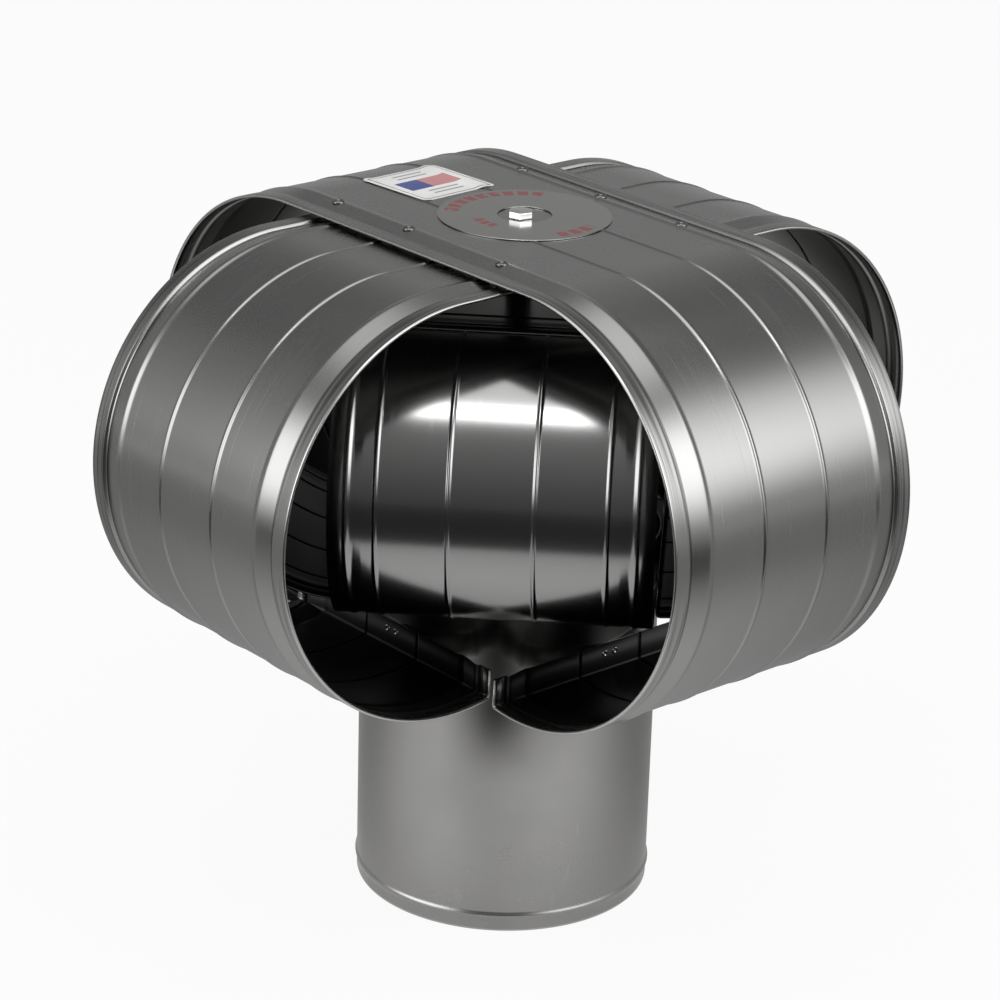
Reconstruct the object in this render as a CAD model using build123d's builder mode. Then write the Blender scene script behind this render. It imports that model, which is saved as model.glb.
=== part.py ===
"""Wind-proof chimney cap: two crossed outer bands over two crossed inner bands on a round collar.

Millimetres, +Z up. The origin is the middle of the collar's lower edge. The inner bands run along X and Y,
the outer bands along the diagonals, so that the four outlets face +X, -X, +Y and -Y.
"""
import os
from math import acos, cos, degrees, radians, sin

from build123d import *

os.makedirs("parts", exist_ok=True)

# Collar
collar_outer_diameter = 152.4
collar_wall = 0.8
collar_rim = 3.0
ring_height = 8.3
ring_width = 5.6
ring_depth = 1.2

# Strip and end flanges, which all four bands share
sheet = 0.8
strip_side_overhang = 0.05
flange_height = 15.0
seat_clearance = 0.15
corner_gap = 0.5

# Outer bands
bead_height = 0.8
bead_width = 3.4
inner_bead_offset = 20.0
rim_slope_width = 11.5
groove_depth = 2.0
groove_wall = 1.7
lip_width = 8.0
upper_crown_height = 353.7
outer_curl_radius = 107.8
upper_crown_margin = 15.3
lower_crown_margin = 22.2

# Inner bands
inner_curl_radius = 71.4
inner_crown_margin = 1.0

# Fasteners on the axis
bolt_diameter = 6.35
bolt_clearance = 0.3
bolt_head_across_flats = 11.1
bolt_head_height = 4.4
bolt_head_chamfer = 0.6
bolt_tail = 4.0
nut_height = 5.6
spacer_diameter = 13.0
spacer_length = 28.5

# Sizes that follow from the ones above
collar_radius = collar_outer_diameter / 2
strip_width = collar_outer_diameter + 2 * strip_side_overhang
groove_offset = strip_width / 2 - lip_width - groove_wall
outer_bead_offset = groove_offset - rim_slope_width
upper_crown_half_length = strip_width / 2 + upper_crown_margin
lower_crown_half_length = strip_width / 2 + lower_crown_margin
bolt_hole_radius = bolt_diameter / 2 + bolt_clearance
outer_drop = sheet + groove_depth + bead_height + seat_clearance
lower_crown_height = upper_crown_height - outer_drop
outer_bulge_centre_height = upper_crown_height - outer_curl_radius
inner_drop = sheet + seat_clearance
inner_crown_height = lower_crown_height - sheet - spacer_length
under_crown_height = inner_crown_height - inner_drop
inner_bulge_centre_height = inner_crown_height - inner_curl_radius
inner_crown_half_length = strip_width / 2 + inner_crown_margin
flange_face = collar_radius + seat_clearance
collar_height = inner_bulge_centre_height - inner_curl_radius + flange_height + collar_rim


def outer_strip_points():
    """Half of the outer strip's section: out along its outer face, then back along its inner face."""
    half_bead = bead_width / 2
    points = [(0, 0), (inner_bead_offset - half_bead, 0)]
    points += [(inner_bead_offset, bead_height), (inner_bead_offset + half_bead, 0)]
    points += [(outer_bead_offset - half_bead, 0), (outer_bead_offset, bead_height)]
    points += [(groove_offset, -groove_depth)]
    points += [(groove_offset + groove_wall, 0), (strip_width / 2, 0)]
    points += [(strip_width / 2, -2 * sheet), (groove_offset, -groove_depth - sheet)]
    points += [(outer_bead_offset + half_bead, -sheet), (0, -sheet)]
    return points


def inner_strip_points():
    """Half of the inner strip's section, which is plain from edge to edge."""
    return [(0, 0), (strip_width / 2, 0), (strip_width / 2, -sheet), (0, -sheet)]


def curled_band(turn, crown_height, bulge_centre_height, crown_half_length, strip_points):
    """One strip, flat over the axis, curled down at both ends and turned up against the collar.

    The strip runs at the angle turn from X. Its heights and lengths are those of its outer face.
    """
    heading = Vector(cos(radians(turn)), sin(radians(turn)), 0)
    across = Vector(-sin(radians(turn)), cos(radians(turn)), 0)
    curl_radius = crown_height - bulge_centre_height
    curl_centre = heading * crown_half_length + Vector(0, 0, bulge_centre_height)
    crown_end = curl_centre + Vector(0, 0, curl_radius)
    past_side = degrees(acos((flange_face - crown_half_length) / curl_radius))
    flange_foot = bulge_centre_height - curl_radius * sin(radians(past_side))
    flange_half_width = min(strip_width / 2, flange_face - corner_gap)
    with BuildPart() as band:
        with BuildSketch(Plane(origin=crown_end, x_dir=across, z_dir=heading)) as strip:
            with BuildLine():
                half_outline = Polyline(*strip_points)
                mirror(half_outline, about=Plane.YZ)
            make_face()
        extrude(strip.sketch, amount=-crown_half_length)
        revolve(axis=Axis(curl_centre, across), revolution_arc=90 + past_side)
        with BuildSketch(Plane(origin=(0, 0, 0), x_dir=heading, z_dir=-across)):
            with Locations((flange_face, flange_foot)):
                Rectangle(sheet, flange_height, align=(Align.MIN, Align.MIN))
        extrude(amount=flange_half_width, both=True)
        mirror(about=Plane(origin=(0, 0, 0), z_dir=heading))
        with Locations((0, 0, crown_height)):
            Cylinder(bolt_hole_radius, curl_radius, mode=Mode.SUBTRACT)
    return band


# Collar: a tube with a rolled ring just above its lower edge
with BuildPart() as collar:
    with BuildSketch(Plane.XZ):
        with BuildLine():
            wall_line = collar_radius - collar_wall
            Polyline(
                (wall_line, 0),
                (collar_radius, 0),
                (collar_radius, ring_height - ring_width / 2),
                (collar_radius + ring_depth, ring_height),
                (collar_radius, ring_height + ring_width / 2),
                (collar_radius, collar_height),
                (wall_line, collar_height),
                close=True,
            )
        make_face()
    revolve(axis=Axis.Z)
collar.part.label = "collar"
export_step(collar.part, "parts/collar.step")

# Outer bands: the upper one runs from back left to front right, the lower one crosses under it
outer_band_upper = curled_band(
    -45,
    upper_crown_height,
    outer_bulge_centre_height,
    upper_crown_half_length,
    outer_strip_points(),
)
outer_band_upper.part.label = "outer_band_upper"
export_step(outer_band_upper.part, "parts/outer_band_upper.step")

outer_band_lower = curled_band(
    45,
    lower_crown_height,
    outer_bulge_centre_height,
    lower_crown_half_length,
    outer_strip_points(),
)
outer_band_lower.part.label = "outer_band_lower"
export_step(outer_band_lower.part, "parts/outer_band_lower.step")

# Inner bands: the upper one runs along X, the lower one along Y
inner_band_upper = curled_band(
    0,
    inner_crown_height,
    inner_bulge_centre_height,
    inner_crown_half_length,
    inner_strip_points(),
)
inner_band_upper.part.label = "inner_band_upper"
export_step(inner_band_upper.part, "parts/inner_band_upper.step")

inner_band_lower = curled_band(
    90,
    under_crown_height,
    inner_bulge_centre_height,
    inner_crown_half_length,
    inner_strip_points(),
)
inner_band_lower.part.label = "inner_band_lower"
export_step(inner_band_lower.part, "parts/inner_band_lower.step")

# Spacer tube on the bolt, from the inner crossing to the underside of the outer one
with BuildPart() as spacer_tube:
    with BuildSketch(Plane.XY.offset(inner_crown_height)):
        Circle(spacer_diameter / 2)
        Circle(bolt_hole_radius, mode=Mode.SUBTRACT)
    extrude(amount=spacer_length)
spacer_tube.part.label = "spacer_tube"
export_step(spacer_tube.part, "parts/spacer_tube.step")

# Centre bolt: a hexagon head on the crown and a shank down through the nut
nut_bottom = under_crown_height - sheet - nut_height
with BuildPart() as centre_bolt:
    with BuildSketch(Plane.XY.offset(upper_crown_height)):
        RegularPolygon(bolt_head_across_flats / 2, 6, major_radius=False)
    extrude(amount=bolt_head_height)
    chamfer(centre_bolt.faces().sort_by(Axis.Z)[-1].edges(), length=bolt_head_chamfer)
    with BuildSketch(Plane.XY.offset(upper_crown_height)):
        Circle(bolt_diameter / 2)
    extrude(amount=nut_bottom - bolt_tail - upper_crown_height)
centre_bolt.part.label = "centre_bolt"
export_step(centre_bolt.part, "parts/centre_bolt.step")

with BuildPart() as hex_nut:
    with BuildSketch(Plane.XY.offset(nut_bottom)):
        RegularPolygon(bolt_head_across_flats / 2, 6, major_radius=False)
        Circle(bolt_diameter / 2, mode=Mode.SUBTRACT)
    extrude(amount=nut_height)
hex_nut.part.label = "hex_nut"
export_step(hex_nut.part, "parts/hex_nut.step")
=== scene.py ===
"""Looks of a wind-proof chimney cap: four curled and beaded steel bands on a round collar.

Metres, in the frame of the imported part. The outer bands run along the diagonals, the inner ones along X
and Y.
"""
from math import asin, atan2, cos, pi, radians, sin, sqrt

import bmesh
import bpy
from mathutils import Matrix, Quaternion, Vector


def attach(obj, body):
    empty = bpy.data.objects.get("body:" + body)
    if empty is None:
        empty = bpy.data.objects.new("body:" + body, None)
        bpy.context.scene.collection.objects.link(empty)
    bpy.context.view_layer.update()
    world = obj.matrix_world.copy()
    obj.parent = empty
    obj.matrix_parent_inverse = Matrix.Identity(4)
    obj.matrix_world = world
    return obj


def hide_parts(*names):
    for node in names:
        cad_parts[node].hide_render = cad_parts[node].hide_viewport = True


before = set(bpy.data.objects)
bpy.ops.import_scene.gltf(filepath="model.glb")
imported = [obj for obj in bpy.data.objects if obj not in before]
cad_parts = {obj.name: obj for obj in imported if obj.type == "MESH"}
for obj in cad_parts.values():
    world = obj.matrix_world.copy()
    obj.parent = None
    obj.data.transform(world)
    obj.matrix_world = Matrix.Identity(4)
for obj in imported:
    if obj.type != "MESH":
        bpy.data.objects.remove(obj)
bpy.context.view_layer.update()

mm = 0.001

# Driving sizes, which agree with the part's source
collar_radius = 76.2 * mm
collar_rim = 3.0 * mm
ring_height = 8.3 * mm
ring_half_width = 2.8 * mm
sheet = 0.8 * mm
seat_clearance = 0.15 * mm
strip_side_overhang = 0.05 * mm
flange_height = 15.0 * mm
bead_offset = 20.0 * mm
upper_crown_height = 353.7 * mm
outer_drop = 3.75 * mm
outer_curl_radius = 107.8 * mm
upper_crown_margin = 15.3 * mm
lower_crown_margin = 22.2 * mm
spacer_length = 28.5 * mm
inner_curl_radius = 71.4 * mm
inner_crown_margin = 1.0 * mm
bolt_radius = 3.175 * mm
bolt_head_half_width = 5.55 * mm
bolt_head_height = 4.4 * mm
bolt_tail = 4.0 * mm
nut_height = 5.6 * mm
diagonal = radians(-45)

# Sizes that follow from them
flange_face = collar_radius + seat_clearance
strip_edge = collar_radius + strip_side_overhang
lower_crown_height = upper_crown_height - outer_drop
inner_crown_height = lower_crown_height - sheet - spacer_length
under_crown_height = inner_crown_height - sheet - seat_clearance
outer_centre_height = upper_crown_height - outer_curl_radius
inner_centre_height = inner_crown_height - inner_curl_radius
upper_half_length = strip_edge + upper_crown_margin
lower_half_length = strip_edge + lower_crown_margin
inner_half_length = strip_edge + inner_crown_margin
collar_height = inner_centre_height - inner_curl_radius + flange_height + collar_rim
bolt_end = under_crown_height - sheet - nut_height - bolt_tail

# Finer sizes of the rolled sheet, in the scene alone
bead_height = 0.6 * mm
bead_half_width = 1.5 * mm
flat_run = 0.5 * mm
inner_edge_bead_offset = 53.8 * mm
groove_foot = 65.6 * mm
lip_start = 67.6 * mm
hem_radius = 0.85 * mm
hem_end = 69.5 * mm
fold_radius = 2.5 * mm
ring_depth = 0.9 * mm
collar_edge = 0.2 * mm

# Steps of the round forms
ridge_steps = [step / 4 for step in range(-4, 5)]
hem_steps = 8
curl_steps = 96
fold_steps = 8
collar_steps = 160
disc_steps = 128
rivet_steps = 24
shank_steps = 32
merge_distance = 1e-7
mirror_distance = 1e-6


# Mesh helpers

def finished_piece(name, bm, material, node=None, sharp=35):
    """Closes a bmesh into an object that rides on the cap, and stands for a CAD node where one is named."""
    mesh = bpy.data.meshes.new(name)
    bm.to_mesh(mesh)
    bm.free()
    mesh.shade_smooth()
    mesh.set_sharp_from_angle(angle=radians(sharp))
    piece = bpy.data.objects.new(name, mesh)
    bpy.context.scene.collection.objects.link(piece)
    mesh.materials.append(material)
    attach(piece, "root")
    if node:
        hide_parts(node)
    return piece


def chain(bm, points):
    """Joins points by edges, as a section to be extruded or spun."""
    verts = [bm.verts.new(p) for p in points]
    return [bm.edges.new(pair) for pair in zip(verts, verts[1:])]


def swept_edges(result):
    """The edges at the far end of a spin."""
    return [e for e in result["geom_last"] if isinstance(e, bmesh.types.BMEdge)]


def extruded(bm, edges, move):
    """Extrudes a section's edges by a move and returns the new edges."""
    made = bmesh.ops.extrude_edge_only(bm, edges=edges)["geom"]
    bmesh.ops.translate(bm, vec=move, verts=[v for v in made if isinstance(v, bmesh.types.BMVert)])
    return [e for e in made if isinstance(e, bmesh.types.BMEdge)]


def everything(bm):
    return bm.verts[:] + bm.edges[:] + bm.faces[:]


def closed(bm):
    """Merges the doubles of a spun shape and turns its faces outwards."""
    bmesh.ops.remove_doubles(bm, verts=bm.verts, dist=merge_distance)
    bmesh.ops.recalc_face_normals(bm, faces=bm.faces)


def rounded(t):
    """Height of a rounded ridge: 1 at its middle and 0 at its feet, where t is -1 and 1."""
    return 0.5 + 0.5 * cos(pi * t)


# Strip sections, as (across, height) from the middle line outwards

def bead(at):
    """A rolled bead: a low rounded ridge along the strip."""
    ridge = [(at + t * bead_half_width, bead_height * rounded(t)) for t in ridge_steps]
    return [(at - bead_half_width - flat_run, 0)] + ridge


def after_bead(at):
    """The start of the flat beyond a bead, so that the flat stays flat to its edge."""
    return [(at + bead_half_width + flat_run, 0)]


def outer_half_section():
    """Middle flat, two beads, a groove, and a lip whose edge is hemmed under."""
    points = [(0, 0)]
    points += bead(bead_offset) + after_bead(bead_offset)
    edge_bead = [(51.4, 0), (52.0, 0), (52.8, 0.12), (53.6, 0.36), (54.3, 0.56), (55.0, 0.62), (55.7, 0.54)]
    slope = [(56.3, 0.42), (56.9, 0.29), (64.6, -1.34), (65.2, -1.47), (65.9, -1.58)]
    groove = [(66.4, -1.59), (66.8, -1.38), (67.2, -0.5)]
    lip = [(67.5, -0.1), (67.9, 0), (68.4, 0), (74.8, 0)]
    points += [(y * mm, z * mm) for y, z in edge_bead + slope + groove + lip]
    for step in range(hem_steps + 1):
        turn = pi * step / hem_steps
        out, down = hem_radius * sin(turn), hem_radius * cos(turn) - hem_radius
        points.append((strip_edge - hem_radius + out, down))
    points.append((hem_end, -2 * hem_radius))
    return points


def inner_half_section():
    """Middle flat, two beads, a shallow groove, a ridge and a plain cut edge."""
    points = [(0, 0)]
    points += bead(bead_offset) + after_bead(bead_offset)
    points += bead(inner_edge_bead_offset) + after_bead(inner_edge_bead_offset)
    groove = [(60.0, 0), (60.8, -0.03), (63.8, -0.42), (64.6, -0.46), (65.2, -0.42)]
    ridge = [(65.9, -0.12), (66.4, 0.2), (66.9, 0.46), (67.4, 0.54), (67.9, 0.44), (68.5, 0.15), (69.0, 0)]
    points += [(y * mm, z * mm) for y, z in groove + ridge + [(69.5, 0)]]
    points.append((strip_edge, 0))
    return points


def curled_band(name, turn, crown_height, centre_height, crown_half_length, half_section, finishes):
    """One strip: flat over the axis, curled down at both ends, folded and turned up against the collar."""
    radius = crown_height - centre_height
    reach = radius - fold_radius
    fold_x = flange_face + fold_radius
    fold_height = centre_height - sqrt(reach ** 2 - (fold_x - crown_half_length) ** 2)
    curl_angle = pi + asin((crown_half_length - fold_x) / reach)
    flange_foot = centre_height - sqrt(radius ** 2 - (flange_face - crown_half_length) ** 2)
    flange_top = flange_foot + flange_height

    bm = bmesh.new()
    left = [(0, -y, crown_height + z) for y, z in reversed(half_section[1:])]
    right = [(0, y, crown_height + z) for y, z in half_section]
    edges = chain(bm, left + right)
    edges = extruded(bm, edges, (crown_half_length, 0, 0))
    curl = bmesh.ops.spin(bm, geom=edges, cent=(crown_half_length, 0, centre_height), axis=(0, 1, 0),
                          angle=curl_angle, steps=curl_steps)
    fold = bmesh.ops.spin(bm, geom=swept_edges(curl), cent=(fold_x, 0, fold_height), axis=(0, 1, 0),
                          angle=1.5 * pi - curl_angle, steps=fold_steps)
    extruded(bm, swept_edges(fold), (0, 0, flange_top - fold_height))

    strip_uv = bm.loops.layers.uv.new("strip")
    for face in bm.faces:
        for loop in face.loops:
            x, y, z = loop.vert.co
            if x <= crown_half_length and z > centre_height:
                along = x
            else:
                angle = atan2(x - crown_half_length, z - centre_height) % (2 * pi)
                along = crown_half_length + radius * min(angle, curl_angle)
                if angle > curl_angle:
                    along += z - flange_foot
            loop[strip_uv].uv = (along, y)

    bmesh.ops.mirror(bm, geom=everything(bm), matrix=Matrix.Identity(4), merge_dist=mirror_distance,
                     axis="X")
    closed(bm)
    bm.faces.ensure_lookup_table()
    crown = max(bm.faces, key=lambda f: f.calc_center_median().z)
    if crown.normal.z < 0:
        bmesh.ops.reverse_faces(bm, faces=bm.faces)
    bmesh.ops.rotate(bm, cent=(0, 0, 0), matrix=Matrix.Rotation(turn, 3, "Z"), verts=bm.verts)
    piece = finished_piece(name, bm, finishes[0], name.removesuffix("_steel"))
    piece.data.materials.append(finishes[1])
    wall = piece.modifiers.new("sheet", "SOLIDIFY")
    wall.thickness = sheet
    wall.offset = -1
    wall.use_even_offset = True
    wall.material_offset = 1


def turned_piece(name, points, steps, material, node=None, centre=(0, 0, 0)):
    """A closed section of (radius, height) points spun once round the vertical through centre."""
    bm = bmesh.new()
    outline = [(centre[0] + r, centre[1], centre[2] + z) for r, z in points]
    bmesh.ops.spin(bm, geom=chain(bm, outline), cent=centre, axis=(0, 0, 1), angle=2 * pi, steps=steps,
                   use_merge=True)
    closed(bm)
    finished_piece(name, bm, material, node)


# Node helpers

def put(tree, kind, links=None, **settings):
    """Adds a node, sets its settings, and fills its inputs with values or other nodes' sockets."""
    made = tree.nodes.new(kind)
    for key, value in settings.items():
        setattr(made, key, value)
    for key, value in (links or {}).items():
        if isinstance(value, bpy.types.NodeSocket):
            tree.links.new(value, made.inputs[key])
        else:
            made.inputs[key].default_value = value
    return made


def maths(tree, operation, *values, clamp=False):
    """The result of one operation on values or sockets."""
    made = put(tree, "ShaderNodeMath", dict(enumerate(values)), operation=operation, use_clamp=clamp)
    return made.outputs[0]


def remapped(tree, value, start, end, to_start=0.0, to_end=1.0, curve="LINEAR"):
    """Takes the range from start to end to another one."""
    made = put(tree, "ShaderNodeMapRange", {"Value": value, "From Min": start, "From Max": end,
                                            "To Min": to_start, "To Max": to_end}, interpolation_type=curve)
    return made.outputs[0]


def ramp(tree, value, start, end):
    """Rises smoothly from 0 at start to 1 at end, or falls where end lies below start."""
    low, high = min(start, end), max(start, end)
    return remapped(tree, value, low, high, float(start > end), float(end > start), "SMOOTHSTEP")


def mixed(tree, share, under, over):
    """The colour under, covered by a share of the colour over."""
    made = put(tree, "ShaderNodeMix", {"Factor": share, "A": under, "B": over}, data_type="RGBA")
    return made.outputs["Result"]


def object_place(tree):
    return put(tree, "ShaderNodeTexCoord").outputs["Object"]


def strip_place(tree):
    return put(tree, "ShaderNodeUVMap", uv_map="strip").outputs["UV"]


def axes(tree, vector):
    return put(tree, "ShaderNodeSeparateXYZ", {0: vector}).outputs


def stretched_noise(tree, vector, scale, turn=0.0, detail=2.0):
    """Noise drawn out along one direction, turned in its plane."""
    place = put(tree, "ShaderNodeMapping", {"Vector": vector, "Rotation": (0, 0, turn), "Scale": scale})
    noise = put(tree, "ShaderNodeTexNoise", {"Vector": place.outputs["Vector"], "Scale": 1.0,
                                             "Detail": detail})
    return noise.outputs["Fac"]


def new_group(name, inputs, outputs):
    """An empty shader node group with named sockets, and its two end nodes."""
    group = bpy.data.node_groups.new(name, "ShaderNodeTree")
    for socket, kind, value in inputs:
        made = group.interface.new_socket(socket, in_out="INPUT", socket_type=kind)
        if value is not None:
            made.default_value = value
    for socket, kind in outputs:
        group.interface.new_socket(socket, in_out="OUTPUT", socket_type=kind)
    return group, group.nodes.new("NodeGroupInput"), group.nodes.new("NodeGroupOutput")


# Steel finishes

def mill_finish_group():
    """Rolled sheet: fine grain along the strip, hairline scratches, handling smudges and a slow ripple."""
    number, vector = "NodeSocketFloat", "NodeSocketVector"
    group, source, sink = new_group(
        "mill_finish",
        [("Vector", vector, None), ("Grain", number, 0.5), ("Scratches", number, 0.5),
         ("Smudges", number, 0.5)],
        [("Shade", number), ("Gloss Loss", number), ("Height", number)],
    )
    coarse_scale, fine_scale = (4.0, 900.0, 900.0), (16.0, 3200.0, 3200.0)
    hairlines_by_turn = {0.5: (9.0, 420.0, 60.0), -0.9: (12.0, 520.0, 60.0), 1.35: (7.0, 380.0, 60.0)}
    hairline_cut = (0.72, 0.76)
    patch_scale, patch_cut = (14.0, 14.0, 14.0), (0.52, 0.62)
    smudge_scale, smudge_turn, smudge_cut = (9.0, 11.0, 10.0), 0.4, (0.42, 0.72)
    smudge_shade = 0.5
    ripple_scale, ripple_height = (9.0, 16.0, 12.0), 6.0
    coords = source.outputs["Vector"]
    coarse = stretched_noise(group, coords, coarse_scale, detail=3.0)
    fine = stretched_noise(group, coords, fine_scale, detail=1.0)
    about_zero = maths(group, "SUBTRACT", maths(group, "ADD", coarse, fine), 1.0)
    grain = maths(group, "MULTIPLY", about_zero, source.outputs["Grain"])

    hairlines = 0.0
    for turn, scale in hairlines_by_turn.items():
        thin = remapped(group, stretched_noise(group, coords, scale, turn, detail=0.0), *hairline_cut)
        patch = stretched_noise(group, coords, patch_scale, turn * 2, detail=1.0)
        some = maths(group, "MULTIPLY", thin, remapped(group, patch, *patch_cut))
        hairlines = maths(group, "MAXIMUM", hairlines, some)
    scratches = maths(group, "MULTIPLY", hairlines, source.outputs["Scratches"])

    cloud = stretched_noise(group, coords, smudge_scale, smudge_turn, detail=4.0)
    smudges = maths(group, "MULTIPLY", remapped(group, cloud, *smudge_cut), source.outputs["Smudges"])

    marks = maths(group, "ADD", smudges, scratches)
    loss = maths(group, "ADD", marks, grain, clamp=True)
    dulled = maths(group, "MULTIPLY_ADD", smudges, smudge_shade, grain)
    shade = maths(group, "SUBTRACT", dulled, scratches, clamp=True)
    ripple = stretched_noise(group, coords, ripple_scale, detail=1.0)
    relief = maths(group, "MULTIPLY_ADD", ripple, ripple_height, grain)
    height = maths(group, "SUBTRACT", relief, scratches)
    for name, socket in (("Shade", shade), ("Gloss Loss", loss), ("Height", height)):
        group.links.new(socket, sink.inputs[name])
    return group


def rim_scuffs_and_painted_light(tree, tint):
    """Streaky scuffs on the lip, a painted highlight on the hem, and painted shade at the foot of the
    groove.
    """
    scuff_grey, hem_highlight_grey, groove_shade_grey = (0.05, 0.05, 0.05, 1), (0.42, 0.42, 0.41, 1), (0.04, 0.04, 0.04, 1)
    streak_scale, streak_cut, streak_most = (9.0, 700.0, 1.0), (0.45, 0.62), 0.75
    patch_scale, patch_cut = (14.0, 14.0, 1.0), (0.36, 0.58)
    hem_width = 0.8 * mm
    groove_shade_reach, groove_shade_core, groove_shade_most = 0.95 * mm, 0.2 * mm, 0.7
    coords = strip_place(tree)
    out = maths(tree, "ABSOLUTE", axes(tree, coords)["Y"])
    lines = stretched_noise(tree, coords, streak_scale, detail=3.0)
    patch = stretched_noise(tree, coords, patch_scale, detail=1.0)
    streaks = maths(tree, "MULTIPLY", remapped(tree, lines, *streak_cut, to_end=streak_most),
                    remapped(tree, patch, *patch_cut))
    on_lip = maths(tree, "GREATER_THAN", out, lip_start)
    tint = mixed(tree, maths(tree, "MULTIPLY", streaks, on_lip), tint, scuff_grey)
    # Painted highlight: the hem is lightened.
    on_hem = maths(tree, "GREATER_THAN", out, strip_edge - hem_width)
    tint = mixed(tree, on_hem, tint, hem_highlight_grey)
    # Painted shade: darker at the foot of the groove.
    away = maths(tree, "ABSOLUTE", maths(tree, "SUBTRACT", out, groove_foot))
    groove_shade = remapped(tree, away, groove_shade_reach, groove_shade_core, 0.0, groove_shade_most, "SMOOTHSTEP")
    return mixed(tree, groove_shade, tint, groove_shade_grey)


def shaded_downwards(tree, tint):
    """Painted shade, darker downwards, from the height where the shade starts to where it is full."""
    start, full, downward_shade_grey = 0.3, 0.2, (0.024, 0.024, 0.024, 1)
    depth = remapped(tree, axes(tree, object_place(tree))["Z"], start, full, curve="SMOOTHSTEP")
    return mixed(tree, depth, tint, downward_shade_grey)


def shaded_below_gaps(tree, tint):
    """Painted shade, darker upwards, below the four gaps between the outer bands' ends."""
    start, full, least, gap_shade_grey = 0.08, 0.125, 0.14, (0.055, 0.055, 0.052, 1)
    gap_limit = 0.36 * collar_radius ** 2
    place = axes(tree, object_place(tree))
    beside = maths(tree, "ABSOLUTE", maths(tree, "MULTIPLY", place["X"], place["Y"]))
    gap = remapped(tree, beside, gap_limit, 0.0, curve="SMOOTHSTEP")
    rise = remapped(tree, place["Z"], start, full, least, curve="SMOOTHSTEP")
    return mixed(tree, maths(tree, "MULTIPLY", gap, rise), tint, gap_shade_grey)


def steel_material(name, bright, dull, rough, rougher, grain, scratches, smudges, place=object_place,
                   wear_and_shade=None):
    """Stainless steel in one finish: two greys and two roughnesses, mixed by the marks on the sheet.

    The marks follow the coordinates that place gives. A further function may add scuffs, a painted highlight
    and painted shade to the tint.
    """
    bump_strength, bump_distance = 0.25, 0.05 * mm
    material = bpy.data.materials.new(name)
    material.use_nodes = True
    tree = material.node_tree
    shader = tree.nodes["Principled BSDF"]
    shader.inputs["Metallic"].default_value = 1.0
    marks = put(tree, "ShaderNodeGroup", {"Vector": place(tree), "Grain": grain, "Scratches": scratches,
                                          "Smudges": smudges}, node_tree=mill_finish).outputs
    tint = mixed(tree, marks["Shade"], (*bright, 1), (*dull, 1))
    if wear_and_shade:
        tint = wear_and_shade(tree, tint)
    tree.links.new(tint, shader.inputs["Base Color"])
    tree.links.new(remapped(tree, marks["Gloss Loss"], 0.0, 1.0, rough, rougher), shader.inputs["Roughness"])
    bump = put(tree, "ShaderNodeBump", {"Height": marks["Height"], "Strength": bump_strength,
                                        "Distance": bump_distance})
    tree.links.new(bump.outputs["Normal"], shader.inputs["Normal"])
    return material


mill_finish = mill_finish_group()
# The band finish carries a painted highlight on the hem and painted shade in the groove.
band_steel = steel_material("band_steel", (0.28, 0.28, 0.275), (0.22, 0.22, 0.215), 0.25, 0.36,
                            grain=0.12, scratches=0.5, smudges=0.4, place=strip_place, wear_and_shade=rim_scuffs_and_painted_light)
inner_steel = steel_material("inner_steel", (0.28, 0.28, 0.277), (0.23, 0.23, 0.227), 0.19, 0.28,
                             grain=0.2, scratches=0.4, smudges=0.3, place=strip_place)
# The collar finish carries painted shade below the gaps between the bands' ends.
collar_steel = steel_material("collar_steel", (0.36, 0.357, 0.347), (0.24, 0.238, 0.23), 0.2, 0.34,
                              grain=0.1, scratches=0.15, smudges=0.8, wear_and_shade=shaded_below_gaps)
# The inside finish carries painted shade, darker downwards.
inside_steel = steel_material("inside_steel", (0.36, 0.36, 0.35), (0.27, 0.27, 0.26), 0.36, 0.48,
                              grain=0.3, scratches=0.4, smudges=0.3, place=strip_place, wear_and_shade=shaded_downwards)
disc_steel = steel_material("disc_steel", (0.36, 0.36, 0.35), (0.3, 0.3, 0.29), 0.12, 0.22,
                            grain=0.2, scratches=0.3, smudges=0.3)
fastener_steel = steel_material("fastener_steel", (0.62, 0.62, 0.61), (0.45, 0.45, 0.44), 0.14, 0.3,
                                grain=0.3, scratches=0.3, smudges=0.3)
rivet_steel = steel_material("rivet_steel", (0.16, 0.16, 0.157), (0.1, 0.1, 0.098), 0.26, 0.42,
                             grain=0.3, scratches=0.3, smudges=0.4)
# Near-black steel whose colour is painted shade, for the spacer tube in the dark middle of the cap.
shadow_black_steel = steel_material("shadow_black_steel", (0.03, 0.03, 0.03), (0.02, 0.02, 0.02), 0.35, 0.55,
                            grain=0.3, scratches=0.3, smudges=0.5)

# Bands, bright outside and duller inside
outer_finishes = (band_steel, inside_steel)
inner_finishes = (inner_steel, inside_steel)
curled_band("outer_band_upper_steel", diagonal, upper_crown_height, outer_centre_height, upper_half_length,
            outer_half_section(), outer_finishes)
curled_band("outer_band_lower_steel", -diagonal, lower_crown_height, outer_centre_height, lower_half_length,
            outer_half_section(), outer_finishes)
curled_band("inner_band_upper_steel", 0.0, inner_crown_height, inner_centre_height, inner_half_length,
            inner_half_section(), inner_finishes)
curled_band("inner_band_lower_steel", pi / 2, under_crown_height, inner_centre_height, inner_half_length,
            inner_half_section(), inner_finishes)

# Collar, with its rolled ring above the lower edge
collar_inside = collar_radius - sheet
collar_outline = [(collar_inside, collar_edge), (collar_inside + collar_edge, 0)]
collar_outline += [(collar_radius - collar_edge, 0), (collar_radius, collar_edge)]
collar_outline += [(collar_radius + ring_depth * rounded(t), ring_height + ring_half_width * t)
                   for t in ridge_steps]
collar_outline += [(collar_radius, collar_height), (collar_inside, collar_height)]
collar_outline.append(collar_outline[0])
turned_piece("collar_steel", collar_outline, collar_steps, collar_steel, "collar")

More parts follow.
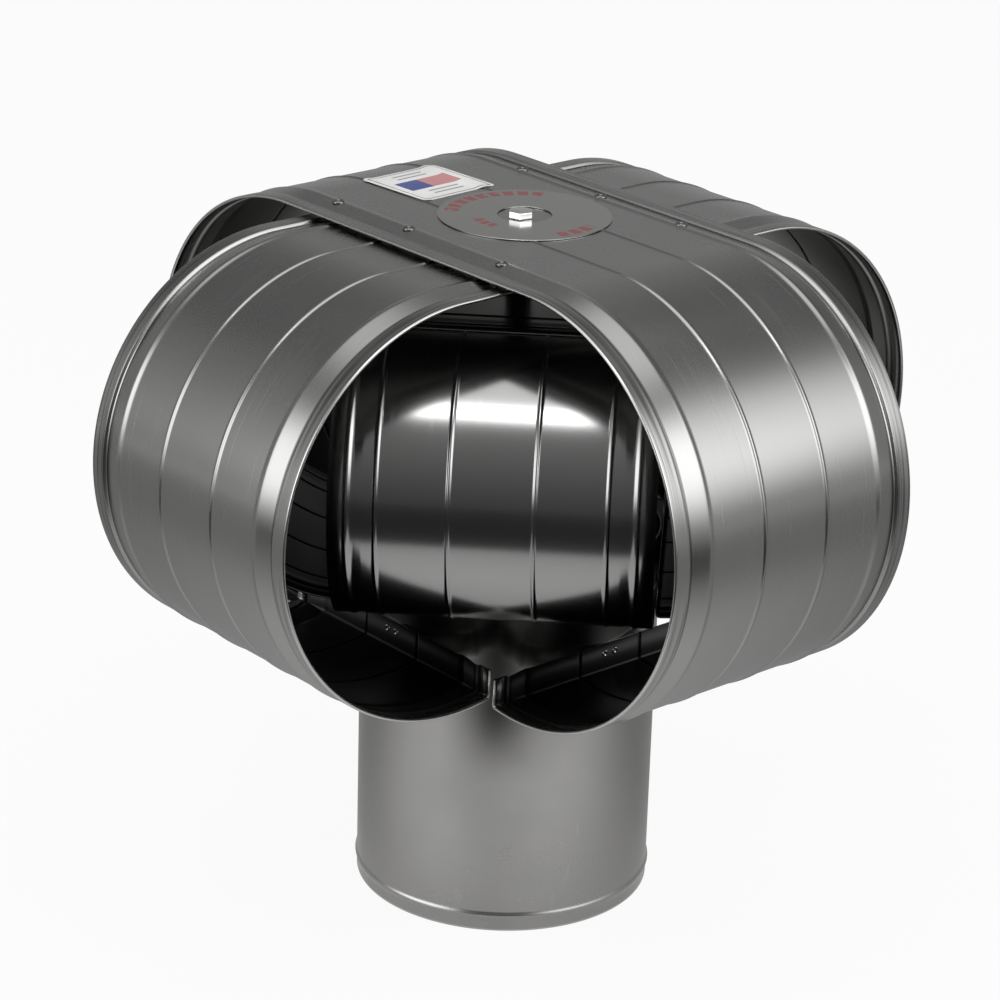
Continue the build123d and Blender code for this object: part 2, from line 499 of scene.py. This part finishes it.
# Rivets through the crossing of the outer bands, and two at the middle of each outer flange
along_upper = Vector((cos(diagonal), sin(diagonal), 0))
across_upper = Vector((-sin(diagonal), cos(diagonal), 0))
up = Vector((0, 0, 1))
rivet_seat = 0.35 * mm
crown_rivet_size = 1.0
flange_rivet_size = 0.55

# The rivets' section and places, in millimetres
rivet_head = [(0.0, 0.35), (1.3, 0.38), (1.7, 0.75), (2.2, 1.0), (2.7, 0.85), (3.0, 0.4), (3.05, 0.0),
              (3.05, -0.4)]
crown_rivet_places = [(-73, -56.5), (-17.5, -56.5), (51.7, -56.5), (-65, 57), (-5, 57), (54, 57)]
upper_flange_rivet_height = 149.0
lower_flange_rivet_height = 154.0
flange_rivet_offset = 3.3


def rivets(name, places, size, material):
    """Low rivet heads with a dimpled middle, each spun about its own outward direction."""
    bm = bmesh.new()
    for at, outward in places:
        side = outward.orthogonal().normalized()
        points = [at + (side * r + outward * h) * size * mm for r, h in rivet_head]
        bmesh.ops.spin(bm, geom=chain(bm, points), cent=at, axis=outward, angle=2 * pi, steps=rivet_steps,
                       use_merge=True)
    closed(bm)
    finished_piece(name, bm, material, sharp=50)


crown_rivets = []
for along, across in crown_rivet_places:
    at = along_upper * along * mm + across_upper * across * mm + up * (upper_crown_height + rivet_seat)
    crown_rivets.append((at, up))
rivets("crown_rivets", crown_rivets, crown_rivet_size, rivet_steel)

flange_rivets = []
for heading, across, height in ((along_upper, across_upper, upper_flange_rivet_height),
                                (across_upper, along_upper, lower_flange_rivet_height)):
    for way in (heading, -heading):
        for side in (-flange_rivet_offset, flange_rivet_offset):
            at = way * (flange_face + sheet) + across * side * mm + up * height * mm
            flange_rivets.append((at, way))
rivets("flange_rivets", flange_rivets, flange_rivet_size, fastener_steel)

# Disc lying on the crown's beads, round the bolt but a little off its middle
disc_along, disc_across = -3.0 * mm, 5.0 * mm
disc_centre = (disc_along * cos(diagonal) - disc_across * sin(diagonal),
               disc_along * sin(diagonal) + disc_across * cos(diagonal), 0)
disc_seat = 0.15 * mm
disc_bottom = upper_crown_height + disc_seat

# The disc's section, as (radius, height) in millimetres
disc_outline = [(13.5, 0.1), (13.6, 0), (43.15, 0), (43.25, 0.1), (43.25, 0.35), (43.1, 0.5), (13.65, 0.5),
                (13.5, 0.35), (13.5, 0.1)]


def printed_disc_material():
    """The disc's steel with three worn arcs of plain printed dashes."""
    dash_rate, dash_cut = 31.0, -0.6
    wide_ring, small_ring = (36.4 * mm, 3.4 * mm), (25.0 * mm, 2.6 * mm)
    wear_scale, wear_cut = (260.0, 260.0, 260.0), (0.24, 0.4)
    ink_red = (0.21, 0.026, 0.022, 1)
    material = disc_steel.copy()
    material.name = "printed_disc"
    tree = material.node_tree
    shader = tree.nodes["Principled BSDF"]
    steel = shader.inputs["Base Color"].links[0].from_socket
    centring = put(tree, "ShaderNodeMapping", {"Vector": object_place(tree),
                                               "Location": tuple(-c for c in disc_centre)})
    place = centring.outputs["Vector"]
    flat = put(tree, "ShaderNodeVectorMath", {0: place, 1: (1, 1, 0)}, operation="MULTIPLY").outputs[0]
    radius = put(tree, "ShaderNodeVectorMath", {0: flat}, operation="LENGTH").outputs["Value"]
    parts = axes(tree, flat)
    bearing = maths(tree, "ARCTAN2", parts["Y"], parts["X"])

    def arc(ring, middle_bearing, half_angle):
        """Where the disc lies in a ring of (radius, half width) and near a bearing, in degrees."""
        in_ring = maths(tree, "COMPARE", radius, *ring)
        in_angle = maths(tree, "COMPARE", bearing, radians(middle_bearing), radians(half_angle))
        return maths(tree, "MULTIPLY", in_ring, in_angle)

    back_arc = arc(wide_ring, 132, 54)
    front_arc = arc(wide_ring, -43, 20)
    small_arc = arc(small_ring, -137, 20)
    arcs = maths(tree, "MAXIMUM", maths(tree, "MAXIMUM", back_arc, front_arc), small_arc)
    wave = maths(tree, "SINE", maths(tree, "MULTIPLY", bearing, dash_rate))
    printed = maths(tree, "MULTIPLY", maths(tree, "GREATER_THAN", wave, dash_cut), arcs)
    worn = stretched_noise(tree, place, wear_scale, detail=3.0)
    ink = maths(tree, "MULTIPLY", printed, remapped(tree, worn, *wear_cut))
    tree.links.new(mixed(tree, ink, steel, ink_red), shader.inputs["Base Color"])
    tree.links.new(maths(tree, "SUBTRACT", 1.0, ink), shader.inputs["Metallic"])
    return material


turned_piece("crown_disc", [(r * mm, disc_bottom + z * mm) for r, z in disc_outline], disc_steps,
             printed_disc_material(), centre=disc_centre)

# Label, laid over the beads of the crown and just on to the curl
label_width = 48.0 * mm
label_depth = 48.5 * mm
label_corner = 2.4 * mm
label_turn = radians(2.6)
label_along, label_across = -74.7 * mm, 2.5 * mm
label_lift = 0.22 * mm
film_thickness = 0.15 * mm
film_ramp = 6.0 * mm
film_ramp_steps = 6
curl_cuts = (0, 3.0 * mm, 5.5 * mm)


def label_material():
    """White film with a thin dark border, two plain colour fields and grey lines."""
    white, dusty, border = (0.88, 0.88, 0.87, 1), (0.78, 0.78, 0.77, 1), (0.12, 0.12, 0.13, 1)
    blue, red, grey = (0.08, 0.1, 0.27, 1), (0.55, 0.26, 0.26, 1), (0.3, 0.3, 0.31, 1)
    border_outside, border_inside = (0.04, 0.96, 0.04, 0.96), (0.055, 0.945, 0.055, 0.945)
    blue_field, red_field = (0.16, 0.46, 0.36, 0.66), (0.46, 0.84, 0.36, 0.66)
    line_left, line_right, line_depth = 0.3, 0.7, 0.03
    line_bottoms = (0.16, 0.25, 0.75, 0.84)
    dust_scale, dust_turn = (6.0, 6.0, 6.0), 0.3
    material = bpy.data.materials.new("label_film")
    material.use_nodes = True
    tree = material.node_tree
    shader = tree.nodes["Principled BSDF"]
    shader.inputs["Roughness"].default_value = 0.35
    uv = put(tree, "ShaderNodeUVMap", uv_map="label").outputs["UV"]
    place = axes(tree, uv)

    def inside(socket, low, high):
        above = maths(tree, "GREATER_THAN", socket, low)
        below = maths(tree, "LESS_THAN", socket, high)
        return maths(tree, "MULTIPLY", above, below)

    def block(left, right, bottom, top):
        """A rectangle on the label, in shares of its sides."""
        in_width = inside(place["Y"], left, right)
        in_depth = inside(place["X"], 1 - top, 1 - bottom)
        return maths(tree, "MULTIPLY", in_width, in_depth)

    film = mixed(tree, stretched_noise(tree, uv, dust_scale, dust_turn, detail=4.0), white, dusty)
    edge = maths(tree, "SUBTRACT", block(*border_outside), block(*border_inside))
    film = mixed(tree, edge, film, border)
    film = mixed(tree, block(*blue_field), film, blue)
    film = mixed(tree, block(*red_field), film, red)
    for bottom in line_bottoms:
        film = mixed(tree, block(line_left, line_right, bottom, bottom + line_depth), film, grey)
    tree.links.new(film, shader.inputs["Base Color"])
    return material


def crown_surface(along, across):
    """Height of a film laid on the upper outer band, which spans the feet of the beads."""
    height = upper_crown_height
    if abs(along) > upper_half_length:
        past = abs(along) - upper_half_length
        height = outer_centre_height + sqrt(outer_curl_radius ** 2 - past ** 2)
    t = (abs(across) - bead_offset) / film_ramp
    if abs(t) < 1:
        height += bead_height * rounded(t)
    return height


def crown_label():
    """A film label with rounded corners that follows the beads under it."""
    bm = bmesh.new()
    bmesh.ops.create_grid(bm, x_segments=1, y_segments=1, size=0.5)
    bmesh.ops.scale(bm, vec=(label_width, label_depth, 1), verts=bm.verts)
    bmesh.ops.bevel(bm, geom=bm.verts[:], offset=label_corner, affect="VERTICES", segments=5, profile=0.5,
                    material=-1)
    label_uv = bm.loops.layers.uv.new("label")
    for face in bm.faces:
        for loop in face.loops:
            x, y = loop.vert.co.xy
            loop[label_uv].uv = (x / label_width + 0.5, y / label_depth + 0.5)
    bmesh.ops.rotate(bm, cent=(0, 0, 0), matrix=Matrix.Rotation(label_turn, 3, "Z"), verts=bm.verts)
    bmesh.ops.translate(bm, vec=(label_along, label_across, 0), verts=bm.verts)
    for side in (-1, 1):
        for step in range(-film_ramp_steps, film_ramp_steps + 1):
            cut = side * bead_offset + step / film_ramp_steps * film_ramp
            bmesh.ops.bisect_plane(bm, geom=everything(bm), plane_co=(0, cut, 0), plane_no=(0, 1, 0))
    for cut in curl_cuts:
        bmesh.ops.bisect_plane(bm, geom=everything(bm), plane_co=(-upper_half_length - cut, 0, 0),
                               plane_no=(1, 0, 0))
    for vert in bm.verts:
        vert.co.z = crown_surface(vert.co.x, vert.co.y) + label_lift
    bmesh.ops.recalc_face_normals(bm, faces=bm.faces)
    if sum(f.normal.z for f in bm.faces) < 0:
        bmesh.ops.reverse_faces(bm, faces=bm.faces)
    bmesh.ops.rotate(bm, cent=(0, 0, 0), matrix=Matrix.Rotation(diagonal, 3, "Z"), verts=bm.verts)
    piece = finished_piece("crown_label", bm, label_material())
    film = piece.modifiers.new("film", "SOLIDIFY")
    film.thickness = film_thickness
    film.offset = -1


crown_label()


# Bolt: hexagon head on the crown, and a shank with a chamfered end

def centre_bolt():
    head_round = 0.55 * mm
    end_radius, end_chamfer = 2.5 * mm, 0.7 * mm
    shank_gap = 0.01 * mm
    bm = bmesh.new()
    corner_radius = bolt_head_half_width / cos(pi / 6)
    head = bmesh.ops.create_circle(bm, cap_ends=True, segments=6, radius=corner_radius)
    bmesh.ops.translate(bm, vec=(0, 0, upper_crown_height), verts=head["verts"])
    top = bmesh.ops.extrude_face_region(bm, geom=bm.faces[:])["geom"]
    top_verts = [v for v in top if isinstance(v, bmesh.types.BMVert)]
    top_faces = [f for f in top if isinstance(f, bmesh.types.BMFace)]
    bmesh.ops.translate(bm, vec=(0, 0, bolt_head_height), verts=top_verts)
    rim = [e for f in top_faces for e in f.edges]
    bmesh.ops.bevel(bm, geom=rim, offset=head_round, affect="EDGES", segments=3, profile=0.5, material=-1)
    shank = [(0, 0, bolt_end), (end_radius, 0, bolt_end), (bolt_radius, 0, bolt_end + end_chamfer)]
    shank.append((bolt_radius, 0, upper_crown_height - shank_gap))
    bmesh.ops.spin(bm, geom=chain(bm, shank), cent=(0, 0, 0), axis=(0, 0, 1), angle=2 * pi,
                   steps=shank_steps, use_merge=True)
    closed(bm)
    finished_piece("centre_bolt_steel", bm, fastener_steel, "centre_bolt", sharp=25)


centre_bolt()

# Studio
scene = bpy.context.scene
scene.view_settings.view_transform = "Standard"
tent_radius = 3.0
cloth_end = 2.9
front_cloth_edge = -0.42
back_cloth_edge = -0.3


def staged(name, bm, material):
    """An object of the studio, which is no part of the cap."""
    mesh = bpy.data.meshes.new(name)
    bm.to_mesh(mesh)
    bm.free()
    mesh.materials.append(material)
    made = bpy.data.objects.new(name, mesh)
    scene.collection.objects.link(made)
    return made


def shown_white(tree):
    """1 for the camera and for what metal and glass show of the studio, and 0 for the light it gives."""
    rays = put(tree, "ShaderNodeLightPath").outputs
    seen = maths(tree, "MAXIMUM", rays["Is Camera Ray"], rays["Is Glossy Ray"])
    return maths(tree, "MAXIMUM", seen, rays["Is Transmission Ray"])


def studio_floor():
    """A white floor that keeps some of the cap's shadow."""
    white_share = 0.93
    material = bpy.data.materials.new("studio_floor")
    material.use_nodes = True
    tree = material.node_tree
    shader = tree.nodes["Principled BSDF"]
    shader.inputs["Base Color"].default_value = (0.85, 0.85, 0.85, 1)
    shader.inputs["Roughness"].default_value = 0.9
    shader.inputs["Specular IOR Level"].default_value = 0.1
    white = put(tree, "ShaderNodeEmission", {"Color": (1, 1, 1, 1), "Strength": 1.0})
    share = maths(tree, "MULTIPLY", shown_white(tree), white_share)
    surface = put(tree, "ShaderNodeMixShader", {0: share, 1: shader.outputs[0], 2: white.outputs[0]})
    tree.links.new(surface.outputs[0], tree.nodes["Material Output"].inputs["Surface"])
    bm = bmesh.new()
    bmesh.ops.create_circle(bm, cap_ends=True, segments=96, radius=2 * tent_radius)
    staged("studio_floor", bm, material)


def studio_world():
    """White to look at, and a dimmer light all round."""
    light_level = 0.4
    world = bpy.data.worlds.new("studio")
    scene.world = world
    world.use_nodes = True
    tree = world.node_tree
    background = tree.nodes["Background"]
    background.inputs["Color"].default_value = (1, 1, 1, 1)
    strength = remapped(tree, shown_white(tree), 0.0, 1.0, light_level, 1.0)
    tree.links.new(strength, background.inputs["Strength"])


def softbox(name, azimuth, elevation, distance, width, height, power):
    """An area lamp that faces the cap; azimuth 0 is the front and 90 the right."""
    aim = Vector((0, 0, 0.2))
    lamp = bpy.data.lights.new(name, "AREA")
    lamp.shape = "RECTANGLE"
    lamp.size = width
    lamp.size_y = height
    lamp.energy = power
    made = bpy.data.objects.new(name, lamp)
    scene.collection.objects.link(made)
    a, e = radians(azimuth), radians(elevation)
    towards = Vector((sin(a) * cos(e), -cos(a) * cos(e), sin(e)))
    made.location = aim + towards * distance
    made.rotation_mode = "QUATERNION"
    made.rotation_quaternion = towards.to_track_quat("Z", "Y")
    return made


studio_floor()
studio_world()
softbox("key_softbox", 0, 66, 2.2, width=1.0, height=0.42, power=9.5)
for unseen_lamp in (softbox("top_softbox", 0, 82, 2.2, width=1.2, height=0.8, power=9.0),
                    softbox("right_softbox", 80, 25, 2.0, width=1.6, height=1.0, power=9.0),
                    softbox("left_softbox", -75, 28, 2.0, width=1.6, height=1.0, power=5.0)):
    unseen_lamp.visible_glossy = False


# Tent and floor cloths, which only the steel's reflections show

def reflected_card(name, bm, shade, cover=None):
    """A studio surface that only reflections see; shade and cover build its level and its extent."""
    cloth = bpy.data.materials.new(name)
    cloth.use_nodes = True
    cloth.cycles.emission_sampling = "NONE"
    tree = cloth.node_tree
    tree.nodes.remove(tree.nodes["Principled BSDF"])
    surface = put(tree, "ShaderNodeEmission", {"Strength": shade(tree)})
    if cover:
        clear = put(tree, "ShaderNodeBsdfTransparent")
        surface = put(tree, "ShaderNodeMixShader", {0: cover(tree), 1: clear.outputs[0],
                                                    2: surface.outputs[0]})
    tree.links.new(surface.outputs[0], tree.nodes["Material Output"].inputs["Surface"])
    card = staged(name, bm, cloth)
    card.visible_camera = False
    card.visible_shadow = False
    card.visible_diffuse = False


def between(tree, angle, start, full, full_end, end):
    """Rises from start to full and falls from full_end to end, all in degrees."""
    rise = ramp(tree, angle, radians(start), radians(full))
    return maths(tree, "MULTIPLY", rise, ramp(tree, angle, radians(end), radians(full_end)))


def tent_shade(tree):
    """Dark towards the front floor and paler upwards, with glows on both sides and overhead.

    Each glow is given by its azimuths, its elevations and its strength, which is below 0 in the two dim
    corners behind.
    """
    front_level, back_level = 0.13, 0.4
    right_glow = ((25, 50, 72, 112), (0, 24, 38, 56), 3.6)
    left_glow = ((-95, -68, -45, -22), (-2, 12, 28, 48), 3.3)
    right_corner = ((104, 126, 150, 184), (22, 36, 54, 68), -0.21)
    left_corner = ((-184, -150, -122, -102), (18, 32, 54, 68), -0.18)
    overhead_start, overhead_full, overhead_glow = radians(54), radians(72), 1.5
    way = put(tree, "ShaderNodeVectorMath", {0: object_place(tree)}, operation="NORMALIZE").outputs[0]
    rise = put(tree, "ShaderNodeVectorMath", {0: way, 1: (0, 1, 1)}, operation="DOT_PRODUCT")
    level = remapped(tree, rise.outputs["Value"], -1.0, 0.2, front_level, back_level)
    parts = axes(tree, way)
    azimuth = maths(tree, "ARCTAN2", parts["X"], maths(tree, "MULTIPLY", parts["Y"], -1.0))
    elevation = maths(tree, "ARCSINE", parts["Z"])
    for azimuths, elevations, strength in (right_glow, left_glow, right_corner, left_corner):
        beside, above = between(tree, azimuth, *azimuths), between(tree, elevation, *elevations)
        level = maths(tree, "MULTIPLY_ADD", maths(tree, "MULTIPLY", beside, above), strength, level)
    overhead = ramp(tree, elevation, overhead_start, overhead_full)
    return maths(tree, "MULTIPLY_ADD", overhead, overhead_glow, level)


def tent():
    """A half sphere that stands over the cap."""
    bm = bmesh.new()
    bmesh.ops.create_uvsphere(bm, u_segments=48, v_segments=24, radius=tent_radius)
    bmesh.ops.bisect_plane(bm, geom=everything(bm), plane_co=(0, 0, 0), plane_no=(0, 0, 1), clear_inner=True)
    return bm


def floor_cloth(near_y, far_y, height):
    """A cloth laid flat on the floor, from near_y to far_y."""
    cloth_width = 4.0
    bm = bmesh.new()
    bmesh.ops.create_grid(bm, x_segments=1, y_segments=1, size=0.5)
    bmesh.ops.scale(bm, vec=(cloth_width, far_y - near_y, 1), verts=bm.verts)
    bmesh.ops.translate(bm, vec=(0, (near_y + far_y) / 2, height), verts=bm.verts)
    return bm


def front_shade(tree):
    """A dark cloth, a little paler far from the cap."""
    near_y, far_level, near_level = -0.9, 0.13, 0.05
    return remapped(tree, axes(tree, object_place(tree))["Y"], -cloth_end, near_y, far_level, near_level)


def back_shade(tree):
    return 0.35


def back_cover(tree):
    """The back cloth's soft front edge."""
    fade_start, fade_end = -0.25, 0.12
    return ramp(tree, axes(tree, object_place(tree))["Y"], fade_start, fade_end)


def side_shade(tree):
    return 0.4


def side_cover(tree):
    """Where the pale table top gives way to the darker floor round it."""
    fade_start, fade_end = 0.2, 0.75
    reach = put(tree, "ShaderNodeVectorMath", {0: object_place(tree)}, operation="LENGTH")
    return ramp(tree, reach.outputs["Value"], fade_start, fade_end)


reflected_card("studio_tent", tent(), tent_shade)
reflected_card("front_cloth", floor_cloth(-cloth_end, front_cloth_edge, 1.5 * mm), front_shade)
reflected_card("back_cloth", floor_cloth(back_cloth_edge, cloth_end, 1.0 * mm), back_shade, back_cover)
reflected_card("side_cloth", floor_cloth(-cloth_end, cloth_end, 0.5 * mm), side_shade, side_cover)

# Camera
view_azimuth = radians(3.974)
view_elevation = radians(21.526)
view_roll = radians(1.711)
view_place = (0.10309, -1.57312, 0.82694)
view_back = Vector((sin(view_azimuth) * cos(view_elevation), -cos(view_azimuth) * cos(view_elevation),
                    sin(view_elevation)))
camera_data = bpy.data.cameras.new("camera")
camera_data.sensor_width = 36.0
camera_data.lens = 120.417
camera_data.clip_start = 0.1
camera_data.clip_end = 50.0
camera = bpy.data.objects.new("camera", camera_data)
scene.collection.objects.link(camera)
camera.location = view_place
camera.rotation_mode = "QUATERNION"
camera.rotation_quaternion = view_back.to_track_quat("Z", "Y") @ Quaternion((0, 0, 1), view_roll)
scene.camera = camera

# Steel on the two solids that keep their CAD meshes
# The spacer tube's near-black steel is painted shade.
for node, material in (("spacer_tube", shadow_black_steel), ("hex_nut", fastener_steel)):
    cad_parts[node].data.materials.clear()
    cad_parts[node].data.materials.append(material)
